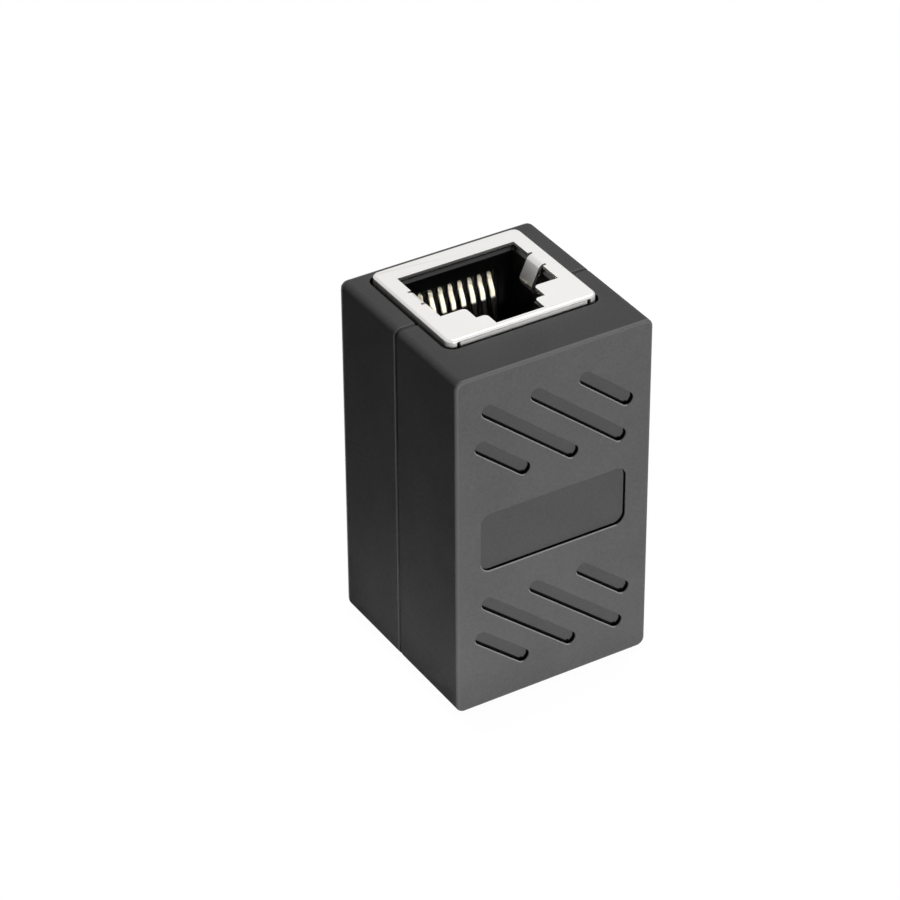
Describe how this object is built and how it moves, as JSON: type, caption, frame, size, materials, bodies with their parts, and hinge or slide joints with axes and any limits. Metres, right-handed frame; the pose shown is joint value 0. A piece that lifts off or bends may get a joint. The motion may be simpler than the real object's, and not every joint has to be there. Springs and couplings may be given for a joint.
{
  "type": "rj45 inline coupler",
  "caption": "Square plastic sleeve with slanting grip grooves and a shielded, stepped port at each end, which joins network cable plugs end to end.",
  "frame": {"origin": "centre of the lower bezel face, under the centre of the sleeve", "axes": "+Z along the coupler from the lower port to the upper port; -Y out of the face with the bare recessed panel; +X to the right of that face"},
  "size_m": [0.02, 0.02, 0.0363],
  "materials": {
    "sleeve_abs": "fine spark-eroded texture",
    "jack_plastic": "smooth moulded, dark",
    "shield_nickel": "satin nickel plate on stamped sheet",
    "contact_gold": "thin bright gold over nickel",
    "board_laminate": "solder resist on glass laminate"
  },
  "bodies": {
    "root": {"front_shell": "sleeve_abs", "rear_shell": "sleeve_abs", "circuit_board": "board_laminate", "upper_shield": "shield_nickel", "upper_housing": "jack_plastic", "upper_contact_insert": "jack_plastic", "upper_contact_1": "contact_gold", "upper_contact_2": "contact_gold", "upper_contact_3": "contact_gold", "upper_contact_4": "contact_gold", "upper_contact_5": "contact_gold", "upper_contact_6": "contact_gold", "upper_contact_7": "contact_gold", "upper_contact_8": "contact_gold", "lower_shield": "shield_nickel", "lower_housing": "jack_plastic", "lower_contact_insert": "jack_plastic", "lower_contact_1": "contact_gold", "lower_contact_2": "contact_gold", "lower_contact_3": "contact_gold", "lower_contact_4": "contact_gold", "lower_contact_5": "contact_gold", "lower_contact_6": "contact_gold", "lower_contact_7": "contact_gold", "lower_contact_8": "contact_gold"}
  },
  "joints": []
}
